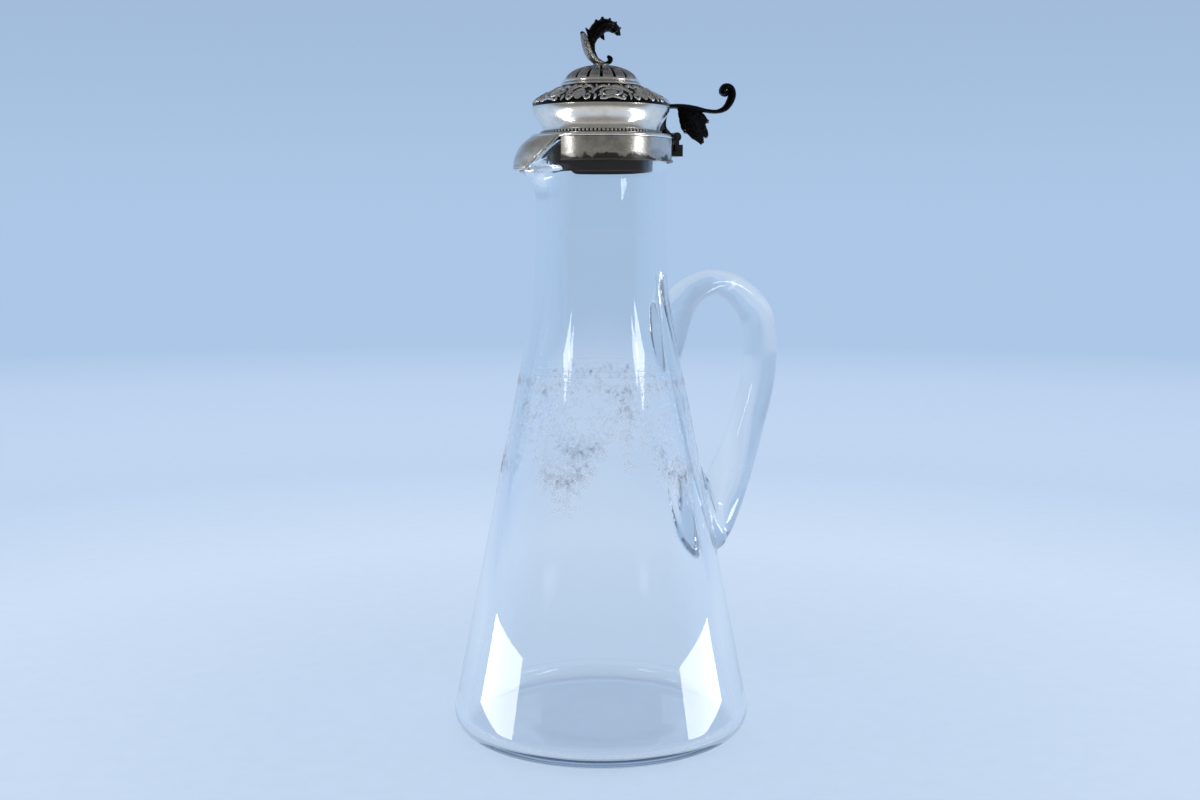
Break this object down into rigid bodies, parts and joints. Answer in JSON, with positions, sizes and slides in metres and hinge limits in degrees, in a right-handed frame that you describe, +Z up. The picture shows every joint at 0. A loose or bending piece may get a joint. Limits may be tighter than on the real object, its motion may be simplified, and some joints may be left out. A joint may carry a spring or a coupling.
{
  "type": "claret jug",
  "caption": "Conical glass claret jug with a loop handle, an etched garland band, a silver collar with hooded spout, and a hinged silver lid with scroll finial and thumbpiece.",
  "frame": {"origin": "on the axis of the body, on the face it stands on", "axes": "+Z up along the body's axis; the spout points along -X, the handle and hinge along +X"},
  "size_m": [0.1465, 0.126, 0.3],
  "materials": {
    "glass": "polished",
    "silver": "polished",
    "dark_silver": "satin",
    "plaster": "matte",
    "brass": "satin"
  },
  "bodies": {
    "jug": {"glass_body": "glass", "glass_handle": "glass", "cement_bed": "plaster", "collar_flange": "silver", "collar_band": "silver", "collar_foot_wire": "silver", "spout_hood": "silver", "hinge_bracket": "silver", "hinge_pin": "silver"},
    "lid": {"lid_foot_ring": "silver", "lid_sleeve": "silver", "lid_liner": "silver", "lid_skirt": "silver", "lid_scroll_cover": "silver", "lid_bead_ring": "silver", "lid_dome": "silver", "lid_strap": "silver", "thumbpiece": "dark_silver", "finial": "dark_silver", "finial_washer": "brass", "finial_nut": "brass"}
  },
  "joints": [
    {"name": "lid_hinge", "type": "hinge", "parent": "jug", "child": "lid", "pos_m": [0.0332, 0, 0.2519], "axis": [0, 1, 0], "range_deg": [0, 66]}
  ]
}
